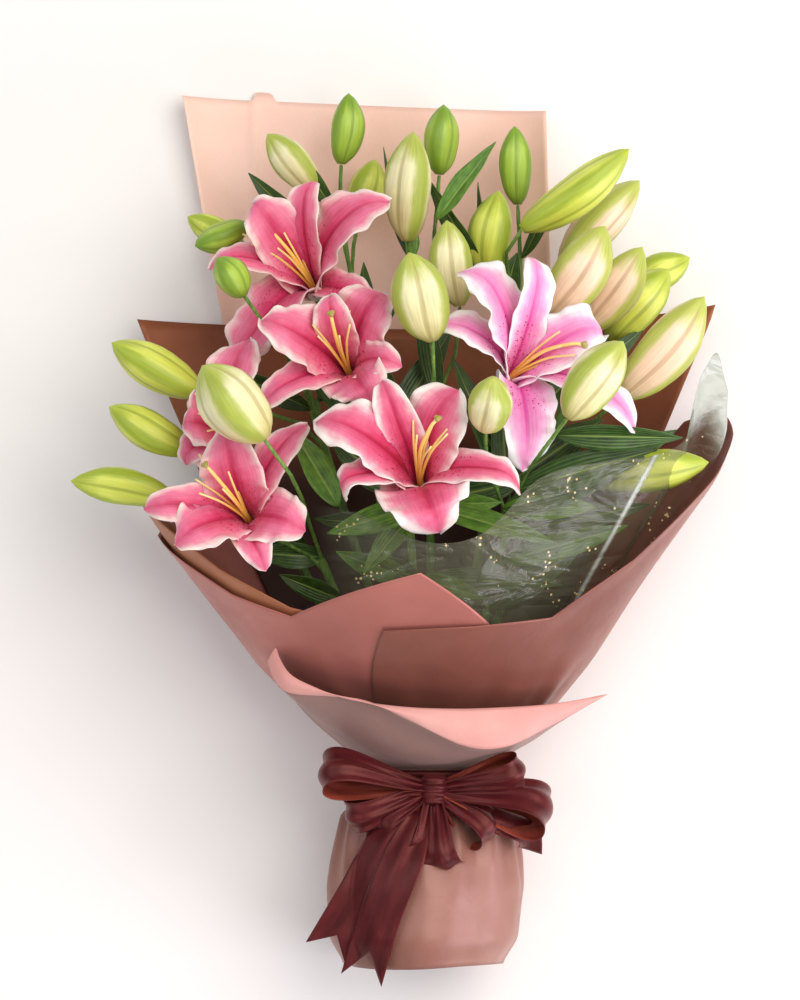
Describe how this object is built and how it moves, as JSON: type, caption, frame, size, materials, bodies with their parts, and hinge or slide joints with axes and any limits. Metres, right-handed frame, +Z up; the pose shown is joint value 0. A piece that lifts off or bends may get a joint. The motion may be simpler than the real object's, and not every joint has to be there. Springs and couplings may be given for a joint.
{
  "type": "bouquet of lilies",
  "caption": "Hand-tied bouquet of pink oriental lilies and buds in layered florist's paper with a satin bow, lying on its back",
  "frame": {"origin": "on the surface that the bunch lies on, under the middle of its box", "axes": "+X to the right seen from above, +Y from the cut stems to the flowers, +Z up"},
  "size_m": [0.5964, 0.8136, 0.3109],
  "materials": {
    "petal": "waxy petal, deep pink in the middle with white wavy edges",
    "bud": "waxy, green to cream and pink",
    "stem": "smooth green",
    "leaf": "glossy dark green with fine lengthwise veins",
    "rose_paper": "matte waterproof florist's paper, dusty rose",
    "copper_paper": "matte florist's paper, copper brown",
    "pale_paper": "matte florist's paper, pale peach",
    "cellophane": "clear film, creased, with gold flecks",
    "ribbon": "wine red satin",
    "twine": "dry natural twine"
  },
  "bodies": {
    "root": {"bud_01": "bud", "bud_02": "bud", "bud_03": "bud", "bud_04": "bud", "bud_05": "bud", "bud_06": "bud", "bud_07": "bud", "bud_08": "bud", "bud_09": "bud", "bud_10": "bud", "bud_11": "bud", "bud_12": "bud", "bud_13": "bud", "bud_14": "bud", "bud_15": "bud", "bud_16": "bud", "bud_17": "bud", "bud_18": "bud", "bud_19": "bud", "bud_20": "bud", "bud_21": "bud", "bud_22": "bud", "bud_23": "bud", "bud_24": "bud", "bud_25": "bud", "bud_26": "bud", "bloom_1": "petal", "bloom_2": "petal", "bloom_3": "petal", "bloom_4": "petal", "bloom_5": "petal", "bloom_6": "petal", "stem_1": "stem", "stem_2": "stem", "stem_3": "stem", "stem_4": "stem", "stem_5": "stem", "stem_6": "stem", "stem_7": "stem", "stem_8": "stem", "stem_9": "stem", "leaf_1": "leaf", "leaf_2": "leaf", "leaf_3": "leaf", "leaf_4": "leaf", "wrap_left": "rose_paper", "wrap_right": "rose_paper", "inner_wrap": "copper_paper", "inner_sheet": "copper_paper", "back_sheet": "pale_paper", "low_collar": "rose_paper", "skirt_right": "rose_paper", "skirt_left": "rose_paper", "cellophane": "cellophane", "stem_tie": "twine", "ribbon_band": "ribbon", "ribbon_bow": "ribbon", "ribbon_tail_left": "ribbon", "ribbon_tail_right": "ribbon"}
  },
  "joints": []
}
